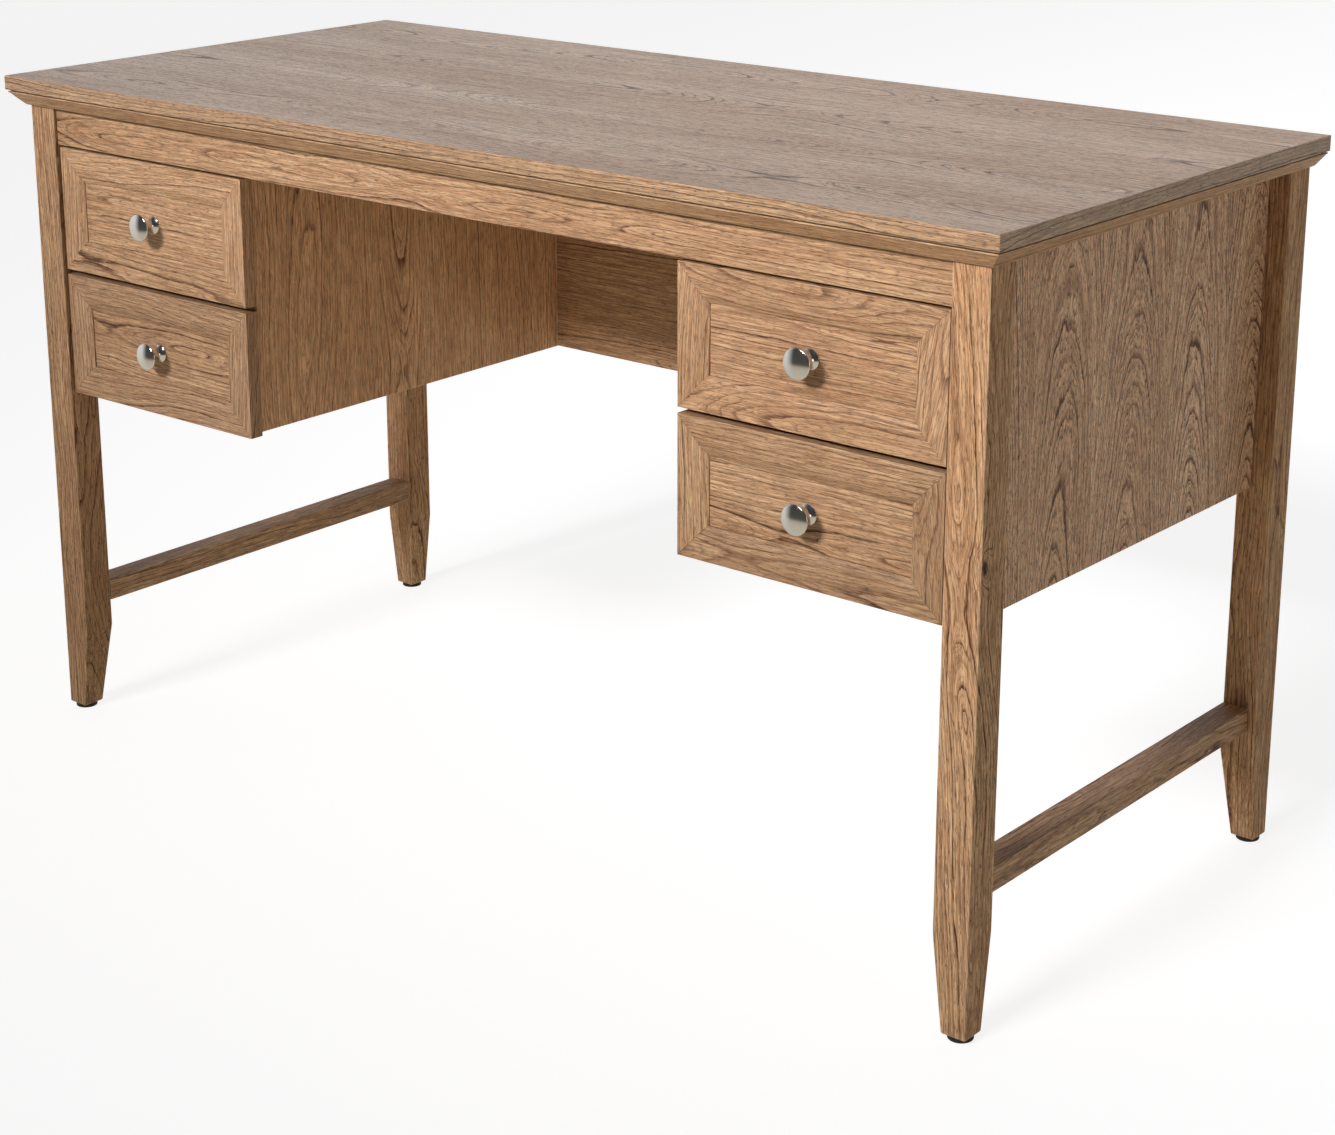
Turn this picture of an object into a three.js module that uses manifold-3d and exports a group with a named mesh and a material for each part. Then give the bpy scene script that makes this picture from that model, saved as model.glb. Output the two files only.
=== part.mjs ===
// A writing desk: a worktop on four tapered legs, with a pedestal of two drawers on each side of the knee hole.
// Millimetres. X runs to the right, Y to the back and Z up. The floor is Z = 0 and the worktop's middle is X = Y = 0.

import * as THREE from 'three';
import { mergeVertices } from 'three/addons/utils/BufferGeometryUtils.js';
import Module from 'manifold-3d';

const wasm = await Module();
wasm.setup();

// ---------------------------------------------------------------- driving dimensions

const SEAM = 0.3; // gap between pieces that rest against each other

// Worktop and the moulding under its edge
const DESK_HEIGHT = 760;
const TOP_WIDTH = 1320;
const TOP_DEPTH = 600;
const TOP_THICKNESS = 16;
const TOP_OVERHANG = 19.5; // past the legs, at the front and the sides
const TOP_REAR_OVERHANG = 1.5;
const MOULDING_HEIGHT = 17.5;
const MOULDING_REACH = 17.2; // out from the legs, at the moulding's lip
const LIP_HEIGHT = 3;
const LIP_STEP = 1.2;
const MOULDING_ROUND = 5; // radius between the slope and the lower edge

// Legs and their glides
const LEG_SIZE = 39;
const LEG_FOOT_SIZE = 27;
const LEG_TAPER_TOP = 102; // height at which the two inner faces start to taper
const GLIDE_HEIGHT = 5;
const GLIDE_RADIUS = 12.5;
const GLIDE_STEM_RADIUS = 3;
const GLIDE_STEM_LENGTH = 20;

// Aprons, panels and stretchers
const APRON_RECESS = 4; // behind the legs' outer faces
const APRON_THICKNESS = 18;
const APRON_BOTTOM = 685;
const PANEL_THICKNESS = 16;
const OUTER_PANEL_BOTTOM = 396.5;
const INNER_PANEL_BOTTOM = 400.5;
const KNEE_HALF_WIDTH = 300.5;
const BACK_PANEL_SETBACK = 63; // from the worktop's rear edge to the back panel's rear face
const BACK_PANEL_THICKNESS = 12;
const PEDESTAL_BOTTOM_RISE = 2; // above the inner panel's lower edge
const PEDESTAL_BOTTOM_THICKNESS = 12;
const STRETCHER_BOTTOM = 131.5;
const STRETCHER_HEIGHT = 26;
const STRETCHER_THICKNESS = 30;

// Drawer fronts: a mitred frame with a sloped inner edge, a small step and a sunk panel
const FRONT_BOTTOM = 397;
const FRONT_HEIGHT = 140.5;
const FRONT_THICKNESS = 17;
const FRONT_ROW_GAP = 5;
const FRONT_LEG_GAP = 3;
const FRONT_OVERLAY = 2; // past the inner panel, into the knee hole
const FRAME_FLAT = 27.5;
const FRAME_SLOPE = 8;
const SLOPE_DEPTH = 3.5;
const PANEL_DEPTH = 5;

// Drawer boxes
const BOX_SIDE_GAP = 5;
const BOX_BOARD = 12;
const BOX_LENGTH = 440;
const BOX_SIDE_HEIGHT = 96;
const BOX_RISE = 20; // from the drawer front's lower edge to the box's lower edge
const BASE_THICKNESS = 4;
const BASE_RISE = 8; // from the box's lower edge to the base
const BASE_GROOVE_DEPTH = 5;

// Runners on the pedestal's walls, and the grooves that slide on them
const RUNNER_HEIGHT = 16;
const RUNNER_LENGTH = 430;
const RUNNER_SETBACK = 6;
const RUNNER_RISE = 40; // from the box's lower edge to the runner's lower edge
const RUNNER_ENGAGEMENT = 6.5;
const RUNNER_CLEARANCE = 0.5;

// Knobs and their screws
const KNOB_RADIUS = 15;
const KNOB_BASE_RADIUS = 10;
const KNOB_STEM_RADIUS = 5.2;
const KNOB_LENGTH = 24;
const KNOB_RIM = 18.5; // from the base to the widest point of the head
const KNOB_BORE_RADIUS = 2.3;
const KNOB_BORE_DEPTH = 12;
const SCREW_RADIUS = 1.9;
const SCREW_REACH = 10; // into the knob
const SCREW_HEAD_RADIUS = 4.5;
const SCREW_HEAD_HEIGHT = 2.4;
const SCREW_HOLE_RADIUS = 2.4;

// ---------------------------------------------------------------- planes that follow from them

const TOP_FRONT = -TOP_DEPTH / 2;
const TOP_REAR = TOP_DEPTH / 2;
const TOP_UNDERSIDE = DESK_HEIGHT - TOP_THICKNESS;
const BOARD_TOP = TOP_UNDERSIDE - SEAM;
const MOULDING_BOTTOM = TOP_UNDERSIDE - MOULDING_HEIGHT;
const LEG_OUTER_X = TOP_WIDTH / 2 - TOP_OVERHANG;
const LEG_INNER_X = LEG_OUTER_X - LEG_SIZE;
const LEG_FRONT = TOP_FRONT + TOP_OVERHANG;
const LEG_REAR = TOP_REAR - TOP_REAR_OVERHANG;

const FRONT_FACE = LEG_FRONT + APRON_RECESS;
const REAR_FACE = LEG_REAR - APRON_RECESS;
const BACK_PANEL_REAR = TOP_REAR - BACK_PANEL_SETBACK;
const BACK_PANEL_FRONT = BACK_PANEL_REAR - BACK_PANEL_THICKNESS;
const PEDESTAL_DEPTH = [FRONT_FACE + APRON_THICKNESS + SEAM, BACK_PANEL_FRONT - SEAM];
const INNER_WALL_X = KNEE_HALF_WIDTH + PANEL_THICKNESS;

const FRONT_INNER_X = KNEE_HALF_WIDTH - FRONT_OVERLAY;
const FRONT_OUTER_X = LEG_INNER_X - FRONT_LEG_GAP;
const FRONT_CENTRE_X = (FRONT_INNER_X + FRONT_OUTER_X) / 2;

// ---------------------------------------------------------------- materials

function finish(color, roughness, metalness = 0) {
  return () => new THREE.MeshStandardMaterial({ color, roughness, metalness });
}

const topOak = finish(0xb39a84, 0.45);
const oak = finish(0xb88c63, 0.55);
const boxBoard = finish(0xc7ab86, 0.6);
const runnerPlastic = finish(0x4a4038, 0.5);
const satinNickel = finish(0xb8b2a6, 0.32, 1);
const zincSteel = finish(0xa9abad, 0.4, 1);
const blackPlastic = finish(0x1d1b1a, 0.6);

// ---------------------------------------------------------------- geometry helpers

const desk = new THREE.Group();

function place(name, geometry, material, group = desk) {
  const mesh = new THREE.Mesh(geometry, material());
  mesh.name = name;
  group.add(mesh);
}

// A box between two limits on each axis. The limits may come in either order.
function box(...limits) {
  const size = limits.map(([from, to]) => Math.abs(to - from));
  const middle = limits.map(([from, to]) => (from + to) / 2);
  return new THREE.BoxGeometry(...size).translate(...middle);
}

function extrude(points, depth) {
  const shape = new THREE.Shape(points.map(([u, v]) => new THREE.Vector2(u, v)));
  return new THREE.ExtrudeGeometry(shape, { depth, bevelEnabled: false });
}

// An outline in X and Z, swept along Y.
function sweepAlongY(points, limits) {
  const [from, to] = [Math.min(...limits), Math.max(...limits)];
  return extrude(points, to - from).rotateX(Math.PI / 2).translate(0, to, 0);
}

// An outline in Y and Z, swept along X.
function sweepAlongX(points, limits) {
  const [from, to] = [Math.min(...limits), Math.max(...limits)];
  return extrude(points, to - from).rotateX(Math.PI / 2).rotateZ(Math.PI / 2).translate(from, 0, 0);
}

// A profile of radius and height, turned about Z.
function turned(profile, segments) {
  const points = profile.map(([radius, height]) => new THREE.Vector2(radius, height));
  return new THREE.LatheGeometry(points, segments).rotateX(Math.PI / 2);
}

// A solid that can be cut and joined.
function solid(geometry) {
  const bare = geometry.clone();
  bare.deleteAttribute('normal');
  bare.deleteAttribute('uv');
  const merged = mergeVertices(bare);
  const mesh = new wasm.Mesh({
    numProp: 3,
    vertProperties: new Float32Array(merged.attributes.position.array),
    triVerts: new Uint32Array(merged.index.array),
  });
  return new wasm.Manifold(mesh);
}

// The geometry of a cut solid.
function skin(manifold) {
  const mesh = manifold.getMesh();
  const geometry = new THREE.BufferGeometry();
  geometry.setAttribute('position', new THREE.BufferAttribute(mesh.vertProperties, 3));
  geometry.setIndex(new THREE.BufferAttribute(mesh.triVerts, 1));
  geometry.computeVertexNormals();
  return geometry;
}

function cut(geometry, ...cutters) {
  return skin(cutters.reduce((rest, cutter) => rest.subtract(solid(cutter)), solid(geometry)));
}

// ---------------------------------------------------------------- worktop and mouldings

function makeTop() {
  const width = [-TOP_WIDTH / 2, TOP_WIDTH / 2];
  place('top_board', box(width, [TOP_FRONT, TOP_REAR], [TOP_UNDERSIDE, DESK_HEIGHT]), topOak);
}

// The moulding's section: distance out from the legs, and height above its lower edge.
// Under the worktop it has a lip and a small step, then a slope that rounds into the lower edge.
function mouldingSection() {
  const lipBottom = MOULDING_HEIGHT - LIP_HEIGHT;
  const points = [
    [SEAM, MOULDING_HEIGHT - SEAM],
    [MOULDING_REACH, MOULDING_HEIGHT - SEAM],
    [MOULDING_REACH, lipBottom],
    [MOULDING_REACH - LIP_STEP, lipBottom],
  ];
  const arcSteps = 4;
  for (let step = arcSteps; step >= 0; step -= 1) {
    const angle = (step / arcSteps) * (Math.PI / 4);
    const reach = 1 + MOULDING_ROUND * Math.sin(angle);
    points.push([reach, MOULDING_ROUND * (1 - Math.cos(angle))]);
  }
  points.push([SEAM, 0]);
  return points;
}

// A strip of moulding from a corner of the legs. A mitred end runs on by as much as the section reaches out.
function mouldingStrip(start, outward, length, mitreStart, mitreEnd) {
  const geometry = extrude(mouldingSection(), length);
  const position = geometry.attributes.position;
  for (let i = 0; i < position.count; i += 1) {
    const reach = position.getX(i);
    const atEnd = position.getZ(i) > length / 2;
    if (atEnd && mitreEnd) position.setZ(i, length + reach);
    if (!atEnd && mitreStart) position.setZ(i, -reach);
  }
  const up = new THREE.Vector3(0, 0, 1);
  const along = outward.clone().cross(up);
  return geometry.applyMatrix4(new THREE.Matrix4().makeBasis(outward, up, along).setPosition(start));
}

function makeMouldings() {
  const frontLength = 2 * (LEG_OUTER_X - SEAM);
  const sideLength = TOP_REAR - LEG_FRONT;
  const frontStart = new THREE.Vector3(frontLength / 2, LEG_FRONT, MOULDING_BOTTOM);
  const rightStart = new THREE.Vector3(LEG_OUTER_X, TOP_REAR, MOULDING_BOTTOM);
  const leftStart = new THREE.Vector3(-LEG_OUTER_X, LEG_FRONT, MOULDING_BOTTOM);
  const forwards = new THREE.Vector3(0, -1, 0);
  const rightwards = new THREE.Vector3(1, 0, 0);
  const leftwards = new THREE.Vector3(-1, 0, 0);
  place('front_moulding', mouldingStrip(frontStart, forwards, frontLength, true, true), oak);
  place('right_moulding', mouldingStrip(rightStart, rightwards, sideLength, false, true), oak);
  place('left_moulding', mouldingStrip(leftStart, leftwards, sideLength, true, false), oak);
}

// ---------------------------------------------------------------- legs, glides, stretchers and outer panels

// A leg's outline on one face: straight on the outer side, tapered to the foot on the inner side.
function legOutline([outer, inner]) {
  const inward = Math.sign(inner - outer);
  return [
    [outer, GLIDE_HEIGHT],
    [outer + inward * LEG_FOOT_SIZE, GLIDE_HEIGHT],
    [inner, LEG_TAPER_TOP],
    [inner, BOARD_TOP],
    [outer, BOARD_TOP],
  ];
}

function footMiddle([outer, inner]) {
  return outer + (Math.sign(inner - outer) * LEG_FOOT_SIZE) / 2;
}

function glide() {
  const flangeTop = GLIDE_HEIGHT - SEAM;
  const stemTop = GLIDE_HEIGHT + GLIDE_STEM_LENGTH;
  const chamfer = 1;
  const profile = [
    [0, 0],
    [GLIDE_RADIUS - chamfer, 0],
    [GLIDE_RADIUS, chamfer],
    [GLIDE_RADIUS, flangeTop],
    [GLIDE_STEM_RADIUS, flangeTop],
    [GLIDE_STEM_RADIUS, stemTop],
    [0, stemTop],
  ];
  return turned(profile, 24);
}

// A leg between an outer and an inner face on each axis, with a blind hole for its glide's stem.
function makeLeg(name, xFaces, yFaces) {
  const foot = [footMiddle(xFaces), footMiddle(yFaces), 0];
  const holeRadius = GLIDE_STEM_RADIUS + SEAM;
  const holeTop = GLIDE_HEIGHT + GLIDE_STEM_LENGTH + 1;
  const hole = new THREE.CylinderGeometry(holeRadius, holeRadius, 2 * holeTop, 12)
    .rotateX(Math.PI / 2)
    .translate(...foot);
  const leg = solid(sweepAlongY(legOutline(xFaces), yFaces))
    .intersect(solid(sweepAlongX(legOutline(yFaces), xFaces)))
    .subtract(solid(hole));
  place(`${name}_leg`, skin(leg), oak);
  place(`${name}_glide`, glide().translate(...foot), blackPlastic);
}

function makeSideFrame(hand, side) {
  const legX = [side * LEG_OUTER_X, side * LEG_INNER_X];
  makeLeg(`front_${hand}`, legX, [LEG_FRONT, LEG_FRONT + LEG_SIZE]);
  makeLeg(`rear_${hand}`, legX, [LEG_REAR, LEG_REAR - LEG_SIZE]);
  const betweenLegs = [LEG_FRONT + LEG_SIZE + SEAM, LEG_REAR - LEG_SIZE - SEAM];
  const stretcherX = [side * LEG_INNER_X, side * (LEG_INNER_X + STRETCHER_THICKNESS)];
  const stretcherZ = [STRETCHER_BOTTOM, STRETCHER_BOTTOM + STRETCHER_HEIGHT];
  place(`${hand}_stretcher`, box(stretcherX, betweenLegs, stretcherZ), oak);
  const panelX = [side * LEG_INNER_X, side * (LEG_INNER_X + PANEL_THICKNESS)];
  place(`${hand}_outer_panel`, box(panelX, betweenLegs, [OUTER_PANEL_BOTTOM, BOARD_TOP]), oak);
}

// ---------------------------------------------------------------- aprons, back panel and pedestals

function makeCrossBoards() {
  const width = [-(LEG_INNER_X - SEAM), LEG_INNER_X - SEAM];
  const apronZ = [APRON_BOTTOM, BOARD_TOP];
  place('front_apron', box(width, [FRONT_FACE, FRONT_FACE + APRON_THICKNESS], apronZ), oak);
  place('rear_apron', box(width, [REAR_FACE - APRON_THICKNESS, REAR_FACE], apronZ), oak);
  place('back_panel', box(width, [BACK_PANEL_FRONT, BACK_PANEL_REAR], [INNER_PANEL_BOTTOM, BOARD_TOP]), oak);
}

function makePedestal(hand, side) {
  const wallX = [side * KNEE_HALF_WIDTH, side * INNER_WALL_X];
  place(`${hand}_inner_panel`, box(wallX, PEDESTAL_DEPTH, [INNER_PANEL_BOTTOM, BOARD_TOP]), oak);
  const bottomX = [side * (INNER_WALL_X + SEAM), side * (LEG_INNER_X - SEAM)];
  const lower = INNER_PANEL_BOTTOM + PEDESTAL_BOTTOM_RISE;
  const bottom = box(bottomX, PEDESTAL_DEPTH, [lower, lower + PEDESTAL_BOTTOM_THICKNESS]);
  place(`${hand}_pedestal_bottom`, bottom, oak);
}

// ---------------------------------------------------------------- drawers

// A drawer's own origin is the middle of its front's lower edge, on the front face.
// "Out" is towards the legs and "in" towards the knee hole.
const HALF_FRONT = (FRONT_OUTER_X - FRONT_INNER_X) / 2;
const BOX_OUT = LEG_INNER_X - BOX_SIDE_GAP - FRONT_CENTRE_X;
const BOX_IN = INNER_WALL_X + BOX_SIDE_GAP - FRONT_CENTRE_X;
const BOX_FRONT = FRONT_THICKNESS + SEAM;
const BOX_REAR = BOX_FRONT + BOX_LENGTH;
const BOX_TOP = BOX_RISE + BOX_SIDE_HEIGHT;
const BASE_BOTTOM = BOX_RISE + BASE_RISE;
const BASE_TOP = BASE_BOTTOM + BASE_THICKNESS;
const BASE_GROOVE = [BASE_BOTTOM - SEAM, BASE_TOP + SEAM];
const RUNNER_BOTTOM = BOX_RISE + RUNNER_RISE;
const RUNNER_TOP = RUNNER_BOTTOM + RUNNER_HEIGHT;

// The sloped hollow inside the frame: a four-sided funnel that starts a little in front of the face.
function frameSlope() {
  const lead = 1;
  const widen = (lead * FRAME_SLOPE) / SLOPE_DEPTH;
  const halfX = HALF_FRONT - FRAME_FLAT;
  const halfZ = FRONT_HEIGHT / 2 - FRAME_FLAT;
  const geometry = box([-1, 1], [-lead, SLOPE_DEPTH], [-1, 1]);
  const position = geometry.attributes.position;
  for (let i = 0; i < position.count; i += 1) {
    const grow = position.getY(i) < 0 ? widen : -FRAME_SLOPE;
    position.setX(i, Math.sign(position.getX(i)) * (halfX + grow));
    position.setZ(i, Math.sign(position.getZ(i)) * (halfZ + grow));
  }
  return geometry.translate(0, 0, FRONT_HEIGHT / 2);
}

function drawerFront(side) {
  const frame = FRAME_FLAT + FRAME_SLOPE;
  const board = box([-HALF_FRONT, HALF_FRONT], [0, FRONT_THICKNESS], [0, FRONT_HEIGHT]);
  const panelX = [frame - HALF_FRONT, HALF_FRONT - frame];
  const sunkPanel = box(panelX, [-1, PANEL_DEPTH], [frame, FRONT_HEIGHT - frame]);
  const screwHole = new THREE.CylinderGeometry(SCREW_HOLE_RADIUS, SCREW_HOLE_RADIUS, 3 * FRONT_THICKNESS, 12)
    .translate(0, 0, FRONT_HEIGHT / 2);
  const grooveIn = side * (BOX_IN + BOX_BOARD - BASE_GROOVE_DEPTH);
  const grooveOut = side * (BOX_OUT - BOX_BOARD + BASE_GROOVE_DEPTH);
  const grooveY = [FRONT_THICKNESS - BASE_GROOVE_DEPTH, FRONT_THICKNESS + 1];
  const baseGroove = box([grooveIn, grooveOut], grooveY, BASE_GROOVE);
  return cut(board, frameSlope(), sunkPanel, screwHole, baseGroove);
}

// A side board, with a groove outside for its runner and a groove inside for the base.
function drawerSide(outerX, innerX) {
  const inward = Math.sign(innerX - outerX);
  const runnerGrooveX = outerX + inward * (RUNNER_ENGAGEMENT + RUNNER_CLEARANCE);
  const baseGrooveX = innerX - inward * BASE_GROOVE_DEPTH;
  const [grooveBottom, grooveTop] = [RUNNER_BOTTOM - RUNNER_CLEARANCE, RUNNER_TOP + RUNNER_CLEARANCE];
  const points = [
    [outerX, BOX_RISE],
    [innerX, BOX_RISE],
    [innerX, BASE_GROOVE[0]],
    [baseGrooveX, BASE_GROOVE[0]],
    [baseGrooveX, BASE_GROOVE[1]],
    [innerX, BASE_GROOVE[1]],
    [innerX, BOX_TOP],
    [outerX, BOX_TOP],
    [outerX, grooveTop],
    [runnerGrooveX, grooveTop],
    [runnerGrooveX, grooveBottom],
    [outerX, grooveBottom],
  ];
  return sweepAlongY(points, [BOX_FRONT, BOX_REAR]);
}

// A knob: a flared base, a thin stem and a domed head. Its bore takes the screw.
function knob() {
  const baseEdge = 1.4;
  const flareEnd = 9;
  const headStart = 11.5;
  const profile = [[0, KNOB_BORE_DEPTH], [KNOB_BORE_RADIUS, KNOB_BORE_DEPTH], [KNOB_BORE_RADIUS, 0]];
  profile.push([KNOB_BASE_RADIUS, 0], [KNOB_BASE_RADIUS, baseEdge]);
  const flareSteps = 5;
  for (let step = 1; step <= flareSteps; step += 1) {
    const along = step / flareSteps;
    const radius = KNOB_STEM_RADIUS + (KNOB_BASE_RADIUS - 0.6 - KNOB_STEM_RADIUS) * (1 - along) ** 2;
    profile.push([radius, baseEdge + (flareEnd - baseEdge) * along]);
  }
  profile.push([KNOB_STEM_RADIUS, headStart]);
  profile.push([KNOB_RADIUS - 1.2, KNOB_RIM - 1.2], [KNOB_RADIUS, KNOB_RIM]);
  const domeSteps = 5;
  for (let step = 1; step <= domeSteps; step += 1) {
    const angle = (step / domeSteps) * (Math.PI / 2);
    const height = KNOB_RIM + (KNOB_LENGTH - KNOB_RIM) * Math.sin(angle);
    profile.push([step === domeSteps ? 0 : KNOB_RADIUS * Math.cos(angle), height]);
  }
  return turned(profile, 24);
}

function screw() {
  const shankLength = SEAM + FRONT_THICKNESS - PANEL_DEPTH + SEAM + SCREW_REACH;
  const profile = [
    [0, 0],
    [SCREW_HEAD_RADIUS - 1, 0],
    [SCREW_HEAD_RADIUS, 1],
    [SCREW_HEAD_RADIUS, SCREW_HEAD_HEIGHT],
    [SCREW_RADIUS, SCREW_HEAD_HEIGHT],
    [SCREW_RADIUS, SCREW_HEAD_HEIGHT + shankLength],
    [0, SCREW_HEAD_HEIGHT + shankLength],
  ];
  return turned(profile, 16);
}

function makeDrawer(name, side, bottom) {
  const drawer = new THREE.Group();
  drawer.position.set(side * FRONT_CENTRE_X, FRONT_FACE, bottom);
  desk.add(drawer);

  const outFace = side * BOX_OUT;
  const inFace = side * BOX_IN;
  const outInside = outFace - side * BOX_BOARD;
  const inInside = inFace + side * BOX_BOARD;
  place(`${name}_front`, drawerFront(side), oak, drawer);
  place(`${name}_outer_side`, drawerSide(outFace, outInside), boxBoard, drawer);
  place(`${name}_inner_side`, drawerSide(inFace, inInside), boxBoard, drawer);

  const backX = [inInside + side * SEAM, outInside - side * SEAM];
  const backY = [BOX_REAR - BOX_BOARD, BOX_REAR];
  place(`${name}_back`, box(backX, backY, [BASE_TOP + SEAM, BOX_TOP]), boxBoard, drawer);
  const tongue = BASE_GROOVE_DEPTH - SEAM;
  const baseX = [inInside - side * tongue, outInside + side * tongue];
  const baseY = [FRONT_THICKNESS - tongue, BOX_REAR];
  place(`${name}_base`, box(baseX, baseY, [BASE_BOTTOM, BASE_TOP]), boxBoard, drawer);

  const middle = FRONT_HEIGHT / 2;
  const knobPlace = [0, PANEL_DEPTH - SEAM, middle];
  const screwPlace = [0, FRONT_THICKNESS + SEAM + SCREW_HEAD_HEIGHT, middle];
  place(`${name}_knob`, knob().rotateX(Math.PI / 2).translate(...knobPlace), satinNickel, drawer);
  place(`${name}_knob_screw`, screw().rotateX(Math.PI / 2).translate(...screwPlace), zincSteel, drawer);
}

// The two runners of one drawer, fixed to the pedestal's walls.
function makeRunners(name, side, bottom) {
  const reach = BOX_SIDE_GAP + RUNNER_ENGAGEMENT;
  const from = PEDESTAL_DEPTH[0] + RUNNER_SETBACK;
  const y = [from, from + RUNNER_LENGTH];
  const z = [bottom + RUNNER_BOTTOM, bottom + RUNNER_TOP];
  const outerX = [side * (LEG_INNER_X - SEAM), side * (LEG_INNER_X - reach)];
  const innerX = [side * (INNER_WALL_X + SEAM), side * (INNER_WALL_X + reach)];
  place(`${name}_outer_runner`, box(outerX, y, z), runnerPlastic);
  place(`${name}_inner_runner`, box(innerX, y, z), runnerPlastic);
}

// ---------------------------------------------------------------- the whole desk

makeTop();
makeMouldings();
makeCrossBoards();
const hands = [['left', -1], ['right', 1]];
const rows = ['lower', 'upper'];
for (const [hand, side] of hands) {
  makeSideFrame(hand, side);
  makePedestal(hand, side);
  rows.forEach((row, level) => {
    const bottom = FRONT_BOTTOM + level * (FRONT_HEIGHT + FRONT_ROW_GAP);
    makeDrawer(`${hand}_${row}_drawer`, side, bottom);
    makeRunners(`${hand}_${row}`, side, bottom);
  });
}

export default desk;
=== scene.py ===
# A writing desk with two drawers on each side of its knee hole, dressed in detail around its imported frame.
# Metres and radians. X runs to the right, Y to the back and Z up. The desk stands on Z = 0.

import math

import bmesh
import bpy
import numpy as np
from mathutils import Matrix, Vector
from mathutils.geometry import tessellate_polygon


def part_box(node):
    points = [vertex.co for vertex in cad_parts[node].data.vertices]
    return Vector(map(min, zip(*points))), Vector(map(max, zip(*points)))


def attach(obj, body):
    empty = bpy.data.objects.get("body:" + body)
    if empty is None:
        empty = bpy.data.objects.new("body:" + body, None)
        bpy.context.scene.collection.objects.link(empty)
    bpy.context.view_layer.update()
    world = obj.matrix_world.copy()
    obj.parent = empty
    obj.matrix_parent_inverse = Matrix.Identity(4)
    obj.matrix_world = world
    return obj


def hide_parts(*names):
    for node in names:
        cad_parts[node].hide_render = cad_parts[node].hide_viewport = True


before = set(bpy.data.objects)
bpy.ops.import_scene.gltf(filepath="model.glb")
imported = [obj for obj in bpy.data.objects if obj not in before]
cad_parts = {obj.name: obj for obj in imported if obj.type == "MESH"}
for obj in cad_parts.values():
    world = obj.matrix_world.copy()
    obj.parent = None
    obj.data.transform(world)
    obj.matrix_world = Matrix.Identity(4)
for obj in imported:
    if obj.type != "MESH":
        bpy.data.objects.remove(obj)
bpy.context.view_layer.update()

# ---------------------------------------------------------------- driving values

HANDS = (("left", -1), ("right", 1))
ROWS = ("lower", "upper")
X_AXIS, Y_AXIS, Z_AXIS = 0, 1, 2

CAMERA_PLACE = (1.811, -2.120, 1.224)
CAMERA_TURN = 0.6908
CAMERA_TILT = 0.2824
CAMERA_LENS = 71.8
CAMERA_SHIFT = -0.1124

ARRIS = 0.0009  # rounding of a foil-wrapped board's edges
LEG_ARRIS = 0.0016
SHARP_ANGLE = math.radians(30)  # an edge sharper than this is rounded
SMOOTH_ANGLE = math.radians(50)  # faces that meet at less than this are shaded as one
ON_AXIS = 1e-6  # a turned profile's point closer than this to its axis is one vertex

LEG_FOOT = 0.027  # width of a leg at the floor
LEG_TAPER_TOP = 0.102

SEAM_DEPTH = 0.0024  # the dark line between the worktop and its moulding
SEAM_HEIGHT = 0.0013
MOULDING_LIP = 0.0031
MOULDING_LIP_STEP = 0.0012
MOULDING_ROUND = 0.005

FRAME_FLAT = 0.0275  # width of a drawer front's frame before it slopes in
FRAME_SLOPE = 0.008
SLOPE_DEPTH = 0.0035
PANEL_DEPTH = 0.005
PANEL_PLAY = 0.00005  # between the sunk panel and its frame
PANEL_GROOVE = (0.5, 0.75)  # front and rear of the frame's groove, as parts of the front's thickness
TONGUE = 0.003  # how far the sunk panel reaches into the groove
TONGUE_SIDE_PLAY = 0.0002
TONGUE_END_PLAY = 0.0005
MITRE_PLAY = 0.00015
FRONT_EASE = 0.0007  # taken off a drawer front's top edge, which leaves a clear dark line above it

RUNNER_GROOVE_DEPTH = 0.007
RUNNER_GROOVE_HEIGHT = 0.017
RUNNER_GROOVE_RISE = 0.0395
BASE_GROOVE_DEPTH = 0.005
BASE_GROOVE_HEIGHT = 0.0046
BASE_GROOVE_RISE = 0.0077

# The two softboxes: where each stands, the point it faces, its size, its power in watts, spread and colour.
KEY = {
    "place": (-0.3, -6.3, 4.6),
    "target": (0.25, -0.28, 2.6),
    "size": (2.4, 1.8),
    "power": 109.0,
    "spread": math.radians(43.6),
    "color": (1.0, 0.985, 1.0),
}
FILL = {
    "place": (5.5, -0.9, 0.75),
    "target": (0.6, 0.0, 0.45),
    "size": (1.2, 2.8),
    "power": 24.0,
    "spread": math.pi,
    "color": (1.0, 0.98, 0.95),
}

# Brightness of the surroundings by height, from straight below (-1) to straight above (1). What lies below
# the horizon is tinted, and what lies above it is nearly neutral.
FRONT_SHADES = ((-1, 0.62), (-0.6, 0.62), (-0.4, 0.56), (-0.32, 0.48), (-0.24, 0.08), (0.2, 0.05), (1, 0.05))
FRONT_TINT = (1.10, 1.00, 0.79)
BACK_SHADES = ((-1, 0.60), (-0.5, 0.66), (-0.25, 0.80), (0, 0.93), (0.4, 0.85), (0.62, 0.22), (1, 0.06))
BACK_TINT = (1.04, 1.00, 0.89)
UPPER_TINT = (1, 1, 1.01)
BACKDROP_WAY = (-0.75, 0.66, 0.0)
BACKDROP_BLEND = 0.26  # how far round the backdrop's edge blends into the dark room
FLOOR_HALF = 40.0


# ---------------------------------------------------------------- shader graphs

def opaque(red, green, blue):
    return (red, green, blue, 1.0)


def even(pace):
    """The same number of turns per metre on every axis."""
    return (pace, pace, pace)


def grained(along, across):
    """Turns per metre along the grain and across it."""
    return (along, across, across)


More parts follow.
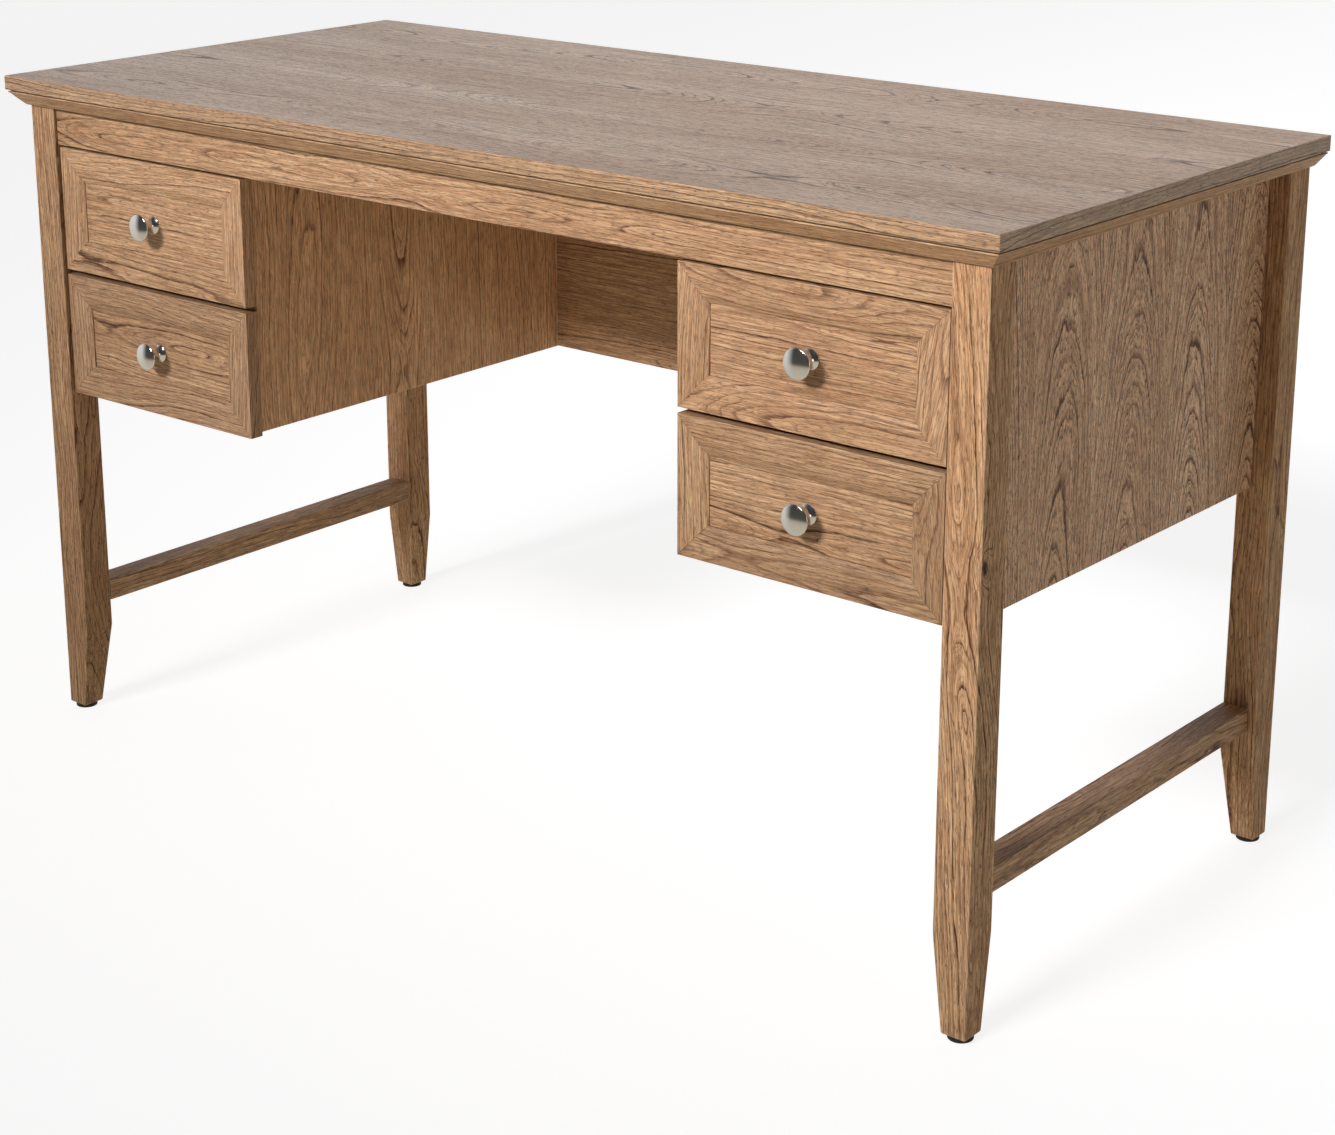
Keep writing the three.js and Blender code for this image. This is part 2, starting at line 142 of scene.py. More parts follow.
class Graph:
    """The shader nodes of a material or a world, added one after another."""

    def __init__(self, owner):
        owner.use_nodes = True
        self.tree = owner.node_tree
        self.tree.nodes.clear()

    def node(self, kind, inputs=None, **settings):
        node = self.tree.nodes.new("ShaderNode" + kind)
        for key, value in settings.items():
            setattr(node, key, value)
        for socket, value in (inputs or {}).items():
            if isinstance(value, bpy.types.NodeSocket):
                self.tree.links.new(value, node.inputs[socket])
            else:
                node.inputs[socket].default_value = value
        return node

    def attribute(self, name, output):
        return self.node("Attribute", attribute_name=name).outputs[output]

    def object_place(self):
        return self.node("TexCoord").outputs["Object"]

    def math(self, operation, *values):
        return self.node("Math", dict(enumerate(values)), operation=operation).outputs[0]

    def add(self, first, *others):
        for other in others:
            first = self.math("ADD", first, other)
        return first

    def times(self, first, second):
        return self.math("MULTIPLY", first, second)

    def noise(self, vector, paces, detail, roughness=0.5):
        """Noise that turns over so many times a metre on each axis, about 0 to 1."""
        stretched = self.node("VectorMath", {0: vector, 1: paces}, operation="MULTIPLY").outputs[0]
        inputs = {"Vector": stretched, "Scale": 1.0, "Detail": detail, "Roughness": roughness}
        return self.node("TexNoise", inputs).outputs["Fac"]

    def swing(self, vector, paces, reach, detail):
        """Noise about zero, `reach` from end to end."""
        return self.times(self.math("SUBTRACT", self.noise(vector, paces, detail), 0.5), reach)

    def fade(self, value, low, high, start=0.0, end=1.0):
        inputs = {"Value": value, "From Min": low, "From Max": high, "To Min": start, "To Max": end}
        return self.node("MapRange", inputs, interpolation_type="SMOOTHSTEP").outputs[0]

    def ramp(self, value, stops):
        """A colour by its place between the stops, which run from 0 to 1."""
        node = self.node("ValToRGB", {"Fac": value})
        elements = node.color_ramp.elements
        while len(elements) < len(stops):
            elements.new(0.5)
        for element, (position, color) in zip(elements, stops):
            element.position = position
            element.color = color
        return node.outputs["Color"]

    def curve(self, value, stops):
        return self.ramp(value, [(position, opaque(level, level, level)) for position, level in stops])

    def mix(self, factor, first, second, blend="MIX"):
        inputs = {0: factor, 6: first, 7: second}
        return self.node("Mix", inputs, data_type="RGBA", blend_type=blend).outputs[2]

    def bump(self, height, depth, strength):
        return self.node("Bump", {"Strength": strength, "Distance": depth, "Height": height}).outputs[0]

    def end(self, shader, inputs, output="OutputMaterial"):
        surface = self.node(shader, inputs).outputs[0]
        self.node(output, {"Surface": surface})


# ---------------------------------------------------------------- camera, light and floor

def link(thing):
    bpy.context.scene.collection.objects.link(thing)


def make_camera():
    data = bpy.data.cameras.new("camera")
    data.lens = CAMERA_LENS
    data.shift_y = CAMERA_SHIFT
    camera = bpy.data.objects.new("camera", data)
    camera.location = CAMERA_PLACE
    camera.rotation_euler = (math.pi / 2 - CAMERA_TILT, 0, CAMERA_TURN)
    link(camera)
    bpy.context.scene.camera = camera


def make_softbox(name, place, target, size, power, spread, color):
    data = bpy.data.lights.new(name, "AREA")
    data.shape = "RECTANGLE"
    data.size, data.size_y = size
    data.energy = power
    data.spread = spread
    data.color = color
    light = bpy.data.objects.new(name, data)
    light.location = place
    light.rotation_euler = (Vector(target) - Vector(place)).to_track_quat("-Z", "Y").to_euler()
    light.visible_camera = False
    link(light)


def surroundings(graph, height, shades, tint):
    """A ramp of the shades by height, tinted below the horizon."""
    stops = []
    for rise, level in shades:
        parts = tint if rise < 0 else UPPER_TINT
        stops.append(((rise + 1) / 2, opaque(*[level * part for part in parts])))
    return graph.ramp(height, stops)


def make_world():
    """A pale backdrop with a dark ceiling, and a dark room behind the photographer."""
    world = bpy.data.worlds.new("studio")
    graph = Graph(world)
    direction = graph.node("TexCoord").outputs["Generated"]
    upward = graph.node("SeparateXYZ", {0: direction}).outputs["Z"]
    height = graph.node("MapRange", {"Value": upward, "From Min": -1.0}).outputs["Result"]
    facing = graph.node("VectorMath", {0: direction, 1: BACKDROP_WAY}, operation="DOT_PRODUCT")
    blend = {"Value": facing.outputs["Value"], "From Min": 0.0, "From Max": BACKDROP_BLEND}
    backward = graph.node("MapRange", blend).outputs["Result"]
    front = surroundings(graph, height, FRONT_SHADES, FRONT_TINT)
    back = surroundings(graph, height, BACK_SHADES, BACK_TINT)
    graph.end("Background", {"Color": graph.mix(backward, front, back)}, "OutputWorld")
    bpy.context.scene.world = world


def make_studio():
    make_world()
    make_softbox("key", **KEY)
    make_softbox("fill", **FILL)
    settings = bpy.context.scene.view_settings
    settings.view_transform = "Standard"
    settings.look = "None"


def make_floor(material):
    corners = [(x * FLOOR_HALF, y * FLOOR_HALF, 0) for x, y in ((-1, -1), (1, -1), (1, 1), (-1, 1))]
    mesh = bpy.data.meshes.new("floor")
    mesh.from_pydata(corners, [], [(0, 1, 2, 3)])
    mesh.materials.append(material)
    floor = bpy.data.objects.new("floor", mesh)
    link(floor)
    for ray in ("diffuse", "glossy", "shadow"):
        setattr(floor, f"visible_{ray}", False)  # the studio's light from below comes from the world


# ---------------------------------------------------------------- materials

# Figure of an oak foil: the distance between the hearts of neighbouring planks, the width of a year's
# growth, and how far the hearts drift up and down along the grain.
BROAD_FIGURE = (0.15, 0.0040, 0.12)
NARROW_FIGURE = (0.12, 0.0034, 0.06)

# How the grain wanders: turns per metre along and across, sideways reach in metres, and octaves of detail.
WANDER = (
    (1.3, 6, 0.030, 1),
    (6, 24, 0.0085, 1),
    (22, 80, 0.0030, 1),
    (75, 260, 0.0013, 2),
)

# How often each texture of the wood turns over, along the grain and across it.
RIPPLES = grained(18, 150)
CLOUDS = grained(1.8, 13)
STREAKS = grained(16, 380)
FIBRES = grained(45, 760)
PORES = grained(130, 1200)
DASHES = grained(70, 900)
BOLD_PATCHES = grained(3.5, 36)
HAIR_PATCHES = grained(9, 140)
EDGE_HIGHLIGHT_AND_WEAR_PATCHES = grained(30, 90)
HEART_DRIFT = (2.6, 6, 1)

PLANK_APART = 40.0  # how far apart the planks' stretches of figure are taken
HEART_DEPTHS = (0.004, 0.022)  # the least and most that a heart lies behind the face
RIPPLE_REACH = 0.7  # in years of growth
KNOT_BULGE = 4.0  # year rings that bend round a knot
KNOT_REACH = 2.6  # how far they bend, in knot radii
KNOT_EDGE = even(1.6)  # the knot's ragged edge, in turns per knot radius
GROWTH_PACE, GROWTH_REACH = 0.37, 2.6  # wide and narrow years
HAIRS_PER_YEAR = 3.31  # fine lines in a year's growth

# How often the textures of the metal, the plastic and the floor turn over, on each axis.
METAL_GRAIN = even(2600)
HANDLING = even(140)
PLASTIC_GRAIN = even(1800)
SCUFFS = (220, 220, 90)
FLOOR_CLOUDS = even(1.1)

# Darkness across a year's growth, for its bold line and for a fine line.
EARLY_WOOD = ((0.0, 0.0), (0.04, 1.0), (0.13, 0.80), (0.25, 0.25), (0.42, 0.0))
HAIR_LINE = ((0.0, 1.0), (0.3, 0.2), (0.6, 0.0), (0.9, 0.0), (1.0, 1.0))


def wood_rings(graph, place, knot, figure):
    """The number of year rings between a point and the heart of its plank."""
    plank_width, ring_width, drift_reach = figure
    at = graph.node("SeparateXYZ", {0: place}).outputs
    across = at["Y"]
    for along_pace, across_pace, reach, detail in WANDER:
        across = graph.add(across, graph.swing(place, grained(along_pace, across_pace), reach, detail))

    planks = {"W": graph.math("DIVIDE", across, plank_width), "Scale": 1.0, "Randomness": 0.0}
    plank = graph.node("TexVoronoi", planks, voronoi_dimensions="1D")
    from_heart = graph.times(plank.outputs["Distance"], plank_width)
    chance = graph.node("SeparateColor", {0: plank.outputs["Color"]}).outputs
    shifted = graph.node("CombineXYZ", {
        "X": graph.add(at["X"], graph.times(chance[0], PLANK_APART)),
        "Y": across,
        "Z": graph.times(chance[1], PLANK_APART),
    }).outputs[0]
    drift = graph.swing(shifted, HEART_DRIFT, drift_reach, 1)
    depth = graph.add(drift, graph.fade(chance[2], 0, 1, *HEART_DEPTHS), at["Z"])
    squares = graph.add(graph.times(from_heart, from_heart), graph.times(depth, depth))
    rings = graph.math("DIVIDE", graph.math("SQRT", squares), ring_width)

    ripple = graph.swing(place, RIPPLES, RIPPLE_REACH, 2)
    rings = graph.add(rings, ripple, graph.times(knot, KNOT_BULGE))
    years = {"W": graph.times(rings, GROWTH_PACE), "Scale": 1.0, "Detail": 1.0}
    growth = graph.node("TexNoise", years, noise_dimensions="1D").outputs["Fac"]
    return graph.add(rings, graph.times(growth, GROWTH_REACH))


def oak(name, palette, roughness, sheen, contrast, figure=BROAD_FIGURE):
    material = bpy.data.materials.new(name)
    graph = Graph(material)
    place = graph.attribute("grain", "Vector")
    knot_place = graph.attribute("knot", "Vector")
    edge = graph.attribute("edge", "Fac")
    tone = graph.attribute("tone", "Fac")

    knot_distance = graph.node("VectorMath", {0: knot_place}, operation="LENGTH").outputs["Value"]
    knot_pull = graph.fade(knot_distance, 0.0, KNOT_REACH, 1.0, 0.0)
    ragged = graph.swing(knot_place, KNOT_EDGE, 0.9, 3)
    knot_core = graph.fade(graph.add(knot_distance, ragged), 0.35, 0.95, 1.0, 0.0)

    rings = wood_rings(graph, place, knot_pull, figure)
    within = graph.math("FRACT", rings)
    whole_years = {"W": graph.math("FLOOR", rings)}
    year = graph.node("TexWhiteNoise", whole_years, noise_dimensions="1D").outputs["Value"]
    early = graph.curve(within, EARLY_WOOD)
    hair = graph.curve(graph.math("FRACT", graph.times(rings, HAIRS_PER_YEAR)), HAIR_LINE)
    hair_strength = graph.fade(graph.noise(place, HAIR_PATCHES, 2), 0.38, 0.66, 0.05, 0.62)
    boldness = graph.fade(graph.noise(place, BOLD_PATCHES, 2), 0.34, 0.64, 0.45, 1.0)
    boldness = graph.times(boldness, graph.fade(year, 0.0, 1.0, 0.35, 1.15))
    dashes = graph.fade(graph.noise(place, DASHES, 2), 0.34, 0.56, 0.35, 1.0)
    line = graph.math("MAXIMUM", graph.times(early, boldness), graph.times(hair, hair_strength))
    line = graph.times(line, dashes)
    line = graph.times(line, graph.fade(rings, 0.6, 2.6, 0.25 * contrast, contrast))

    pores = graph.fade(graph.noise(place, PORES, 1), 0.57, 0.69)
    streaks = graph.noise(place, STREAKS, 3, 0.6)
    fibres = graph.fade(graph.noise(place, FIBRES, 2), 0.30, 0.70, 0.76, 1.24)
    clouds = graph.noise(place, CLOUDS, 3)

    warmth = graph.times(graph.fade(within, 0.0, 0.6, 0.35, 0.0), contrast)
    # Painted highlight along the rounded edges, broken into patches like wear: the edges are lightened where
    # light would catch them.
    edge_highlight_and_wear = graph.times(edge, graph.fade(graph.noise(place, EDGE_HIGHLIGHT_AND_WEAR_PATCHES, 3), 0.3, 0.7, 0.12, 0.6))
    color = graph.mix(graph.fade(clouds, 0.3, 0.7), palette["light"], palette["middle"])
    color = graph.mix(graph.fade(streaks, 0.36, 0.66, 0.0, 0.75), color, palette["warm"])
    color = graph.mix(warmth, color, palette["warm"])
    color = graph.mix(line, color, palette["line"])
    color = graph.mix(graph.times(pores, 0.55 * contrast), color, palette["pore"])
    color = graph.mix(graph.times(knot_core, 0.92), color, palette["knot"])
    color = graph.mix(edge_highlight_and_wear, color, palette["edge_highlight_and_wear"])
    # The board's tone scales the colour with the fibres: partly the board's own tone, partly painted light
    # and shade.
    shading = graph.times(tone, fibres)
    tint = graph.node("CombineColor", {0: shading, 1: shading, 2: shading}).outputs[0]
    color = graph.mix(1.0, color, tint, "MULTIPLY")

    gloss = graph.add(graph.times(line, 0.12), graph.times(pores, 0.10))
    gloss = graph.add(gloss, graph.fade(clouds, 0.2, 0.8, roughness - 0.04, roughness + 0.05))
    hollow = graph.add(graph.times(line, 0.6), graph.times(pores, 0.8))
    height = graph.math("SUBTRACT", graph.times(streaks, 0.5), hollow)
    graph.end("BsdfPrincipled", {
        "Base Color": color,
        "Roughness": gloss,
        "Specular IOR Level": sheen,
        "Normal": graph.bump(height, 0.00022, 0.8),
    })
    return material


def satin_metal(name, color, roughness):
    material = bpy.data.materials.new(name)
    graph = Graph(material)
    place = graph.object_place()
    grain = graph.noise(place, METAL_GRAIN, 2)
    handling = graph.fade(graph.noise(place, HANDLING, 4), 0.45, 0.85)
    dulled = opaque(*[level * 0.88 for level in color[:3]])
    graph.end("BsdfPrincipled", {
        "Base Color": graph.mix(graph.times(handling, 0.35), color, dulled),
        "Metallic": 1.0,
        "Roughness": graph.add(graph.times(grain, 0.03), roughness, graph.times(handling, 0.04)),
        "Normal": graph.bump(grain, 0.000006, 0.4),
    })
    return material


def moulded_plastic(name, color, roughness):
    material = bpy.data.materials.new(name)
    graph = Graph(material)
    place = graph.object_place()
    grain = graph.noise(place, PLASTIC_GRAIN, 3)
    scuffs = graph.fade(graph.noise(place, SCUFFS, 4), 0.55, 0.8, 0.0, 0.5)
    scuffed = opaque(*[level * 1.9 + 0.01 for level in color[:3]])
    graph.end("BsdfPrincipled", {
        "Base Color": graph.mix(scuffs, color, scuffed),
        "Roughness": graph.add(graph.times(grain, 0.12), roughness),
        "Normal": graph.bump(grain, 0.00006, 0.6),
    })
    return material


def floor_paint():
    """Pale and nearly even. Part of its brightness is its own, so the shadows on it stay soft."""
    material = bpy.data.materials.new("floor_paint")
    graph = Graph(material)
    clouds = graph.noise(graph.object_place(), FLOOR_CLOUDS, 3)
    graph.end("BsdfPrincipled", {
        "Base Color": graph.mix(clouds, opaque(0.35, 0.35, 0.35), opaque(0.36, 0.36, 0.36)),
        "Roughness": 0.9,
        "Specular IOR Level": 0.1,
        "Emission Color": opaque(1, 1, 1),
        "Emission Strength": 0.82,
    })
    return material


# Each palette's last colour lightens the rounded edges: a painted highlight, partly wear.
OAK_PALETTE = {
    "light": opaque(0.590, 0.385, 0.222),
    "middle": opaque(0.485, 0.295, 0.158),
    "warm": opaque(0.355, 0.180, 0.088),
    "line": opaque(0.085, 0.030, 0.013),
    "pore": opaque(0.085, 0.034, 0.017),
    "knot": opaque(0.030, 0.012, 0.006),
    "edge_highlight_and_wear": opaque(0.62, 0.43, 0.27),
}
# Lighter and greyer than the oak palette, in part a painted sheen on the side panels.
PANEL_PALETTE_WITH_PAINTED_SHEEN = {
    "light": opaque(0.655, 0.448, 0.298),
    "middle": opaque(0.535, 0.347, 0.215),
    "warm": opaque(0.390, 0.213, 0.126),
    "line": opaque(0.080, 0.030, 0.016),
    "pore": opaque(0.080, 0.034, 0.020),
    "knot": opaque(0.030, 0.012, 0.006),
    "edge_highlight_and_wear": opaque(0.66, 0.47, 0.32),
}
TOP_PALETTE = {
    "light": opaque(0.62, 0.402, 0.228),
    "middle": opaque(0.51, 0.315, 0.172),
    "warm": opaque(0.39, 0.216, 0.110),
    "line": opaque(0.090, 0.036, 0.016),
    "pore": opaque(0.080, 0.034, 0.017),
    "knot": opaque(0.030, 0.012, 0.006),
    "edge_highlight_and_wear": opaque(0.58, 0.40, 0.25),
}
BOX_PALETTE = {
    "light": opaque(0.62, 0.46, 0.29),
    "middle": opaque(0.56, 0.40, 0.25),
    "warm": opaque(0.50, 0.34, 0.20),
    "line": opaque(0.36, 0.23, 0.13),
    "pore": opaque(0.26, 0.16, 0.09),
    "knot": opaque(0.12, 0.07, 0.04),
    "edge_highlight_and_wear": opaque(0.68, 0.54, 0.38),
}


# ---------------------------------------------------------------- meshes that carry their place in the wood

LOG_STEP = 1.37  # distance along the log between the stretches of two boards with neighbouring numbers
FAR_KNOT = 20.0  # in knot radii, for a board with no knot

# Where an edge band's grain is taken: how far along the log, and how far from its heart.
SIDE_BAND = (3.1, 0.05)
END_BAND = (5.3, 0.045)

# For the cut ends of a strip: how many times the figure is narrowed, and the end's place beside and in front
# of the heart.
STRIP_END = (3, 0.03, 0.01)


def new_shape():
    shape = bmesh.new()
    shape.loops.layers.float_vector.new("grain")
    shape.loops.layers.float.new("edge")
    return shape


def add_face(shape, vertices, grain, edge=None):
    """A face with the place in the wood, and how rounded the surface is, at each corner."""
    face = shape.faces.new(vertices)
    grain_layer = shape.loops.layers.float_vector["grain"]
    edge_layer = shape.loops.layers.float["edge"]
    for i, loop in enumerate(face.loops):
        loop[grain_layer] = grain[i]
        loop[edge_layer] = edge[i] if edge else 0.0


def face_outward(shape):
    bmesh.ops.recalc_face_normals(shape, faces=shape.faces[:])


def round_sharp_edges(shape, radius, segments=2):
    edges = [edge for edge in shape.edges if edge.is_convex and edge.calc_face_angle(0.0) > SHARP_ANGLE]
    made = bmesh.ops.bevel(shape, geom=edges, offset=radius, offset_type="OFFSET", segments=segments,
                           profile=0.5, affect="EDGES", clamp_overlap=True)
    return set(made["faces"])


def lay_grain(shape, rounded, wood_place):
    grain = shape.loops.layers.float_vector["grain"]
    edge = shape.loops.layers.float["edge"]
    shape.normal_update()
    for face in shape.faces:
        for loop in face.loops:
            loop[grain] = wood_place(face.normal, loop.vert.co)
            loop[edge] = float(all(near in rounded for near in loop.vert.link_faces))


class Wood:
    """Which stretch of oak a board is cut from: a place along the log, how far the board's middle lies beside
    and in front of the heart, and how far the grain runs askew in both ways."""

    def __init__(self, number, from_heart=0.0, tone=1.0, slope=0.0, tilt=0.0, depth=0.0, knot=None,
                 knot_size=(0.02, 0.008, 0.008)):
        self.origin = Vector((number * LOG_STEP, from_heart, depth))
        # The tone scales the board's colour: partly its own tone, partly painted light and shade for how this
        # studio's light falls on it.
        self.tone = tone
        self.slope = slope
        self.tilt = tilt
        self.knot = knot
        self.knot_size = knot_size


def board_place(lo, hi, along, wood, banded=True):
    """Grain along one axis of the board. A banded board's narrow faces have it along their longer side."""
    size = hi - lo
    middle = (lo + hi) / 2
    wide, thin = sorted((axis for axis in range(3) if axis != along), key=lambda axis: -size[axis])
    band_start = Vector((wood.origin.x, 0.0, 0.0))

    def band(kind, run, across, facing_way):
        start, from_heart = kind
        return band_start + Vector((run + start, across + math.copysign(from_heart, facing_way), 0.0))

    def place(normal, point):
        at = point - middle
        facing = max(range(3), key=lambda axis: abs(normal[axis]))
        if facing == thin or not banded:
            return wood.origin + Vector((at[along], at[wide], at[thin]))
        if facing == wide:
            return band(SIDE_BAND, at[along], at[thin], normal[wide])
        return band(END_BAND, at[wide], at[thin], normal[along])

    return place


def board_shape(lo, hi, along, wood, radius=ARRIS, banded=True):
    shape = new_shape()
    bmesh.ops.create_cube(shape, size=1.0)
    for vertex in shape.verts:
        vertex.co = Vector([lo[i] if vertex.co[i] < 0 else hi[i] for i in range(3)])
    rounded = round_sharp_edges(shape, radius)
    lay_grain(shape, rounded, board_place(lo, hi, along, wood, banded))
    return shape


def rounded_outline(corners, steps=3):
    """Corners of (u, v, radius), turned to points of (u, v, edge). A rounded corner becomes a short curve."""
    points = []
    count = len(corners)
    for i, (u, v, radius) in enumerate(corners):
        if not radius:
            points.append((u, v, 0.0))
            continue
        corner = Vector((u, v))
        before = (Vector(corners[i - 1][:2]) - corner).normalized()
        after = (Vector(corners[(i + 1) % count][:2]) - corner).normalized()
        turn = math.pi - before.angle(after)
        reach = radius * math.tan(turn / 2)
        start, end = corner + before * reach, corner + after * reach
        for step in range(steps + 1):
            t = step / steps
            point = start * (1 - t) ** 2 + corner * 2 * t * (1 - t) + end * t ** 2
            points.append((point.x, point.y, 1.0 if 0 < step < steps else 0.0))
    return points


def strip_shape(outline, place, along, wood):
    """A strip with one outline from end to end. place(u, v, end) gives a point on the end -1 or 1."""
    shape = new_shape()
    rings = {end: [shape.verts.new(place(u, v, end)) for u, v, _ in outline] for end in (-1, 1)}
    run = [0.0]
    for (u0, v0, _), (u1, v1, _) in zip(outline, outline[1:] + outline[:1]):
        run.append(run[-1] + math.hypot(u1 - u0, v1 - v0))
    count = len(outline)
    for i in range(count):
        j = (i + 1) % count
        corners = ((i, -1, run[i]), (j, -1, run[i + 1]), (j, 1, run[i + 1]), (i, 1, run[i]))
        vertices = [rings[end][index] for index, end, _ in corners]
        grain = [wood.origin + Vector((rings[end][index].co.dot(along), y, 0)) for index, end, y in corners]
        add_face(shape, vertices, grain, [outline[index][2] for index, _, _ in corners])
    stretch, beside, in_front = STRIP_END
    for end in (-1, 1):
        order = list(range(count)) if end > 0 else list(reversed(range(count)))
        ends = [(outline[i][0] * stretch, outline[i][1] + beside, in_front) for i in order]
        add_face(shape, [rings[end][i] for i in order], [wood.origin + Vector(place) for place in ends])
    face_outward(shape)
    return shape


def along_y(lo, hi):
    """For strip_shape: a section in X and Z, at both ends of a box along Y."""
    def place(u, v, end):
        return Vector((u, lo.y if end < 0 else hi.y, v))

    return place


def turned_shape(outline, centre, axis, segments):
    """A profile of (radius, height, edge) turned about an axis through centre."""
    shape = new_shape()
    side = axis.orthogonal().normalized()
    other = axis.cross(side)
    rings = []
    for radius, height, _ in outline:
        base = centre + axis * height
        if radius < ON_AXIS:
            rings.append([shape.verts.new(base)] * segments)
            continue
        turns = [2 * math.pi * i / segments for i in range(segments)]
        ways = [side * math.cos(turn) + other * math.sin(turn) for turn in turns]
        rings.append([shape.verts.new(base + way * radius) for way in ways])
    for ring, following in zip(rings, rings[1:]):
        for i in range(segments):
            j = (i + 1) % segments
            corners = list(dict.fromkeys((ring[i], ring[j], following[j], following[i])))
            if len(corners) > 2:
                shape.faces.new(corners)
    face_outward(shape)
    return shape


def mark_wood(mesh, wood):
    """Writes the skewed grain, the way to the knot and the board's tone, which also carries painted light and
    shade, to the mesh's corners.
    """
    count = len(mesh.loops)
    grain = np.zeros(count * 3, np.float32)
    mesh.attributes["grain"].data.foreach_get("vector", grain)
    grain = grain.reshape(-1, 3)
    knot = np.full((count, 3), FAR_KNOT)
    if wood.knot:
        centre = np.array(wood.origin) + np.array(wood.knot)
        knot = (grain - centre) / np.array(wood.knot_size)
    along = grain[:, 0] - wood.origin.x
    grain[:, 1] += wood.slope * along
    grain[:, 2] += wood.tilt * along
    mesh.attributes["grain"].data.foreach_set("vector", grain.ravel())
    to_knot = mesh.attributes.new("knot", "FLOAT_VECTOR", "CORNER")
    to_knot.data.foreach_set("vector", knot.ravel().astype(np.float32))
    tone = mesh.attributes.new("tone", "FLOAT", "CORNER")
    tone.data.foreach_set("value", np.full(count, wood.tone, np.float32))


def add_piece(shape, name, material, body, nodes, wood=None):
    mesh = bpy.data.meshes.new(name)
    shape.to_mesh(mesh)
    shape.free()
    mesh.materials.append(material)
    mesh.shade_smooth()
    mesh.set_sharp_from_angle(angle=SMOOTH_ANGLE)
    if wood:
        mark_wood(mesh, wood)
    piece = bpy.data.objects.new(name, mesh)
    link(piece)
    piece.modifiers.new("weighted_normals", "WEIGHTED_NORMAL").keep_sharp = True
    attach(piece, body)
    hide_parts(*nodes)


# ---------------------------------------------------------------- the fixed frame

def add_board(node, along, wood, material, slot="oak", body="desk_frame", **options):
    lo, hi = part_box(node)
    shape = board_shape(lo, hi, along, wood, **options)
    add_piece(shape, f"{node}_finish", material, body, [node], wood)


def moulding_outline():
    """The section of the moulding in distance out and height, with a narrow seam under the worktop."""
    lo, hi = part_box("front_moulding")
    height = hi.z - lo.z
    reach = hi.y - lo.y
    lip_bottom = height - MOULDING_LIP
    step = reach - MOULDING_LIP_STEP
    return rounded_outline([
        (0.0, height, 0),
        (reach - SEAM_DEPTH, height, 0),
        (reach - SEAM_DEPTH, height - SEAM_HEIGHT, 0),
        (reach, height - SEAM_HEIGHT, 0.0004),
        (reach, lip_bottom, 0.0011),
        (step, lip_bottom, 0),
        (MOULDING_ROUND * 0.55, 0.0, MOULDING_ROUND),
        (0.0, 0.0, 0),
    ], steps=5)


def add_mouldings(material):
    """The front moulding is mitred at both ends, and a side one at its front end."""
    outline = moulding_outline()
    lo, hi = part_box("front_moulding")
    reach = hi.y - lo.y
    half_width = hi.x - reach
    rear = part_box("right_moulding")[1].y

    def front(u, v, end):
        return Vector((end * (half_width + u), hi.y - u, lo.z + v))

    wood = Wood(3, 0.055, 0.97)
    shape = strip_shape(outline, front, Vector((1, 0, 0)), wood)
    add_piece(shape, "front_moulding_finish", material, "desk_frame", ["front_moulding"], wood)
    for hand, side in HANDS:
        def along_side(u, v, end):
            y = rear if end > 0 else hi.y - u
            return Vector((side * (half_width + u), y, lo.z + v))

        node = f"{hand}_moulding"
        wood = Wood(5 + side, 0.06, 0.95)
        shape = strip_shape(outline, along_side, Vector((0, 1, 0)), wood)
        add_piece(shape, f"{node}_finish", material, "desk_frame", [node], wood)


def leg_shape(lo, hi, outer_x, outer_y, wood):
    """A square leg whose two inner faces taper in towards the foot, below LEG_TAPER_TOP."""
    inner_x = lo.x + hi.x - outer_x
    inner_y = lo.y + hi.y - outer_y
    foot_x = outer_x + math.copysign(LEG_FOOT, inner_x - outer_x)
    foot_y = outer_y + math.copysign(LEG_FOOT, inner_y - outer_y)
    heights = (lo.z, LEG_TAPER_TOP, hi.z)
    shape = new_shape()

    def post(foot, full):
        return [shape.verts.new((*corner, z)) for corner, z in zip((foot, full, full), heights)]

    near_x = post((outer_x, foot_y), (outer_x, inner_y))
    near_y = post((foot_x, outer_y), (inner_x, outer_y))
    inner = post((foot_x, foot_y), (inner_x, inner_y))
    corner = [shape.verts.new((outer_x, outer_y, z)) for z in (lo.z, hi.z)]
    faces = [
        (corner[0], *near_x, corner[1]),
        (corner[0], *near_y, corner[1]),
        (near_x[0], near_x[1], inner[1], inner[0]),
        (near_x[1], near_x[2], inner[2], inner[1]),
        (near_y[0], near_y[1], inner[1], inner[0]),
        (near_y[1], near_y[2], inner[2], inner[1]),
        (corner[0], near_x[0], inner[0], near_y[0]),
        (corner[1], near_x[2], inner[2], near_y[2]),
    ]
    for vertices in faces:
        shape.faces.new(vertices)
    face_outward(shape)
    rounded = round_sharp_edges(shape, LEG_ARRIS, 3)
    lay_grain(shape, rounded, board_place(lo, hi, Z_AXIS, wood, banded=False))
    return shape


def glide_outline(height, radius):
    """A flat foot with a step near its top, as (radius, height, rounding)."""
    neck = radius - 0.0007
    return rounded_outline([
        (0.0, 0.0, 0),
        (radius, 0.0, 0.0012),
        (radius, height * 0.55, 0.0003),
        (neck, height * 0.6, 0.0002),
        (neck, height, 0.0004),
        (0.0, height, 0),
    ])


def add_glide(name, leg_bottom, plastic):
    """A glide whose top stays just clear of the leg."""
    lo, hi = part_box(f"{name}_glide")
    centre = (lo + hi) / 2
    centre.z = 0.0
    outline = glide_outline(leg_bottom - 0.0003, (hi.x - lo.x) / 2)
    shape = turned_shape(outline, centre, Vector((0, 0, 1)), 48)
    add_piece(shape, f"{name}_glide_finish", plastic, "desk_frame", [f"{name}_glide"])


